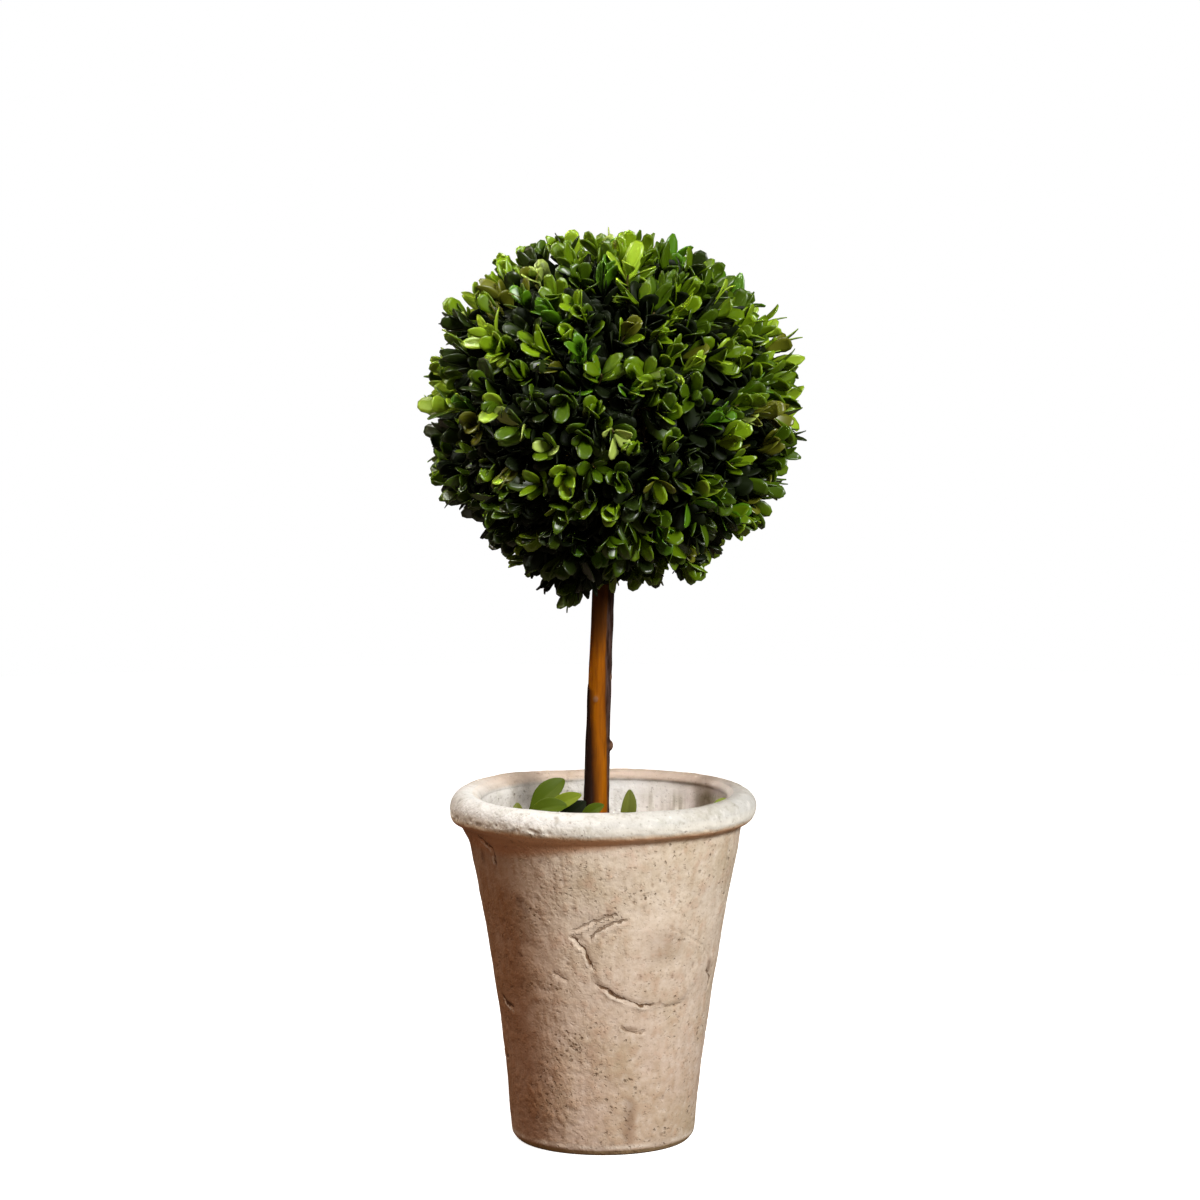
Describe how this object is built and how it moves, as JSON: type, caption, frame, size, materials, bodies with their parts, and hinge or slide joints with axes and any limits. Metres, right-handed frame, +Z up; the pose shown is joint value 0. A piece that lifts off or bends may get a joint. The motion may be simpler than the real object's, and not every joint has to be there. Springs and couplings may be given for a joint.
{
  "type": "potted box topiary ball",
  "caption": "Ball of clipped box leaves on a single bare leaning stem, set in a tapered whitewashed clay pot with a rolled lip.",
  "frame": {"origin": "on the ground, at the pot's axis", "axes": "+Z up, -Y towards the front, +X to the right seen from the front; the stem leans towards +X"},
  "size_m": [0.2079, 0.2116, 0.5062],
  "materials": {
    "clay": "matte",
    "fill": "matte",
    "bark": "matte",
    "leaf": "satin"
  },
  "bodies": {
    "root": {"pot": "clay", "pot_fill": "fill", "stem": "bark", "foliage_ball": "leaf", "sprig_left": "leaf", "sprig_front": "leaf", "sprig_right": "leaf", "sprig_far_left": "leaf", "sprig_far_right": "leaf"}
  },
  "joints": []
}
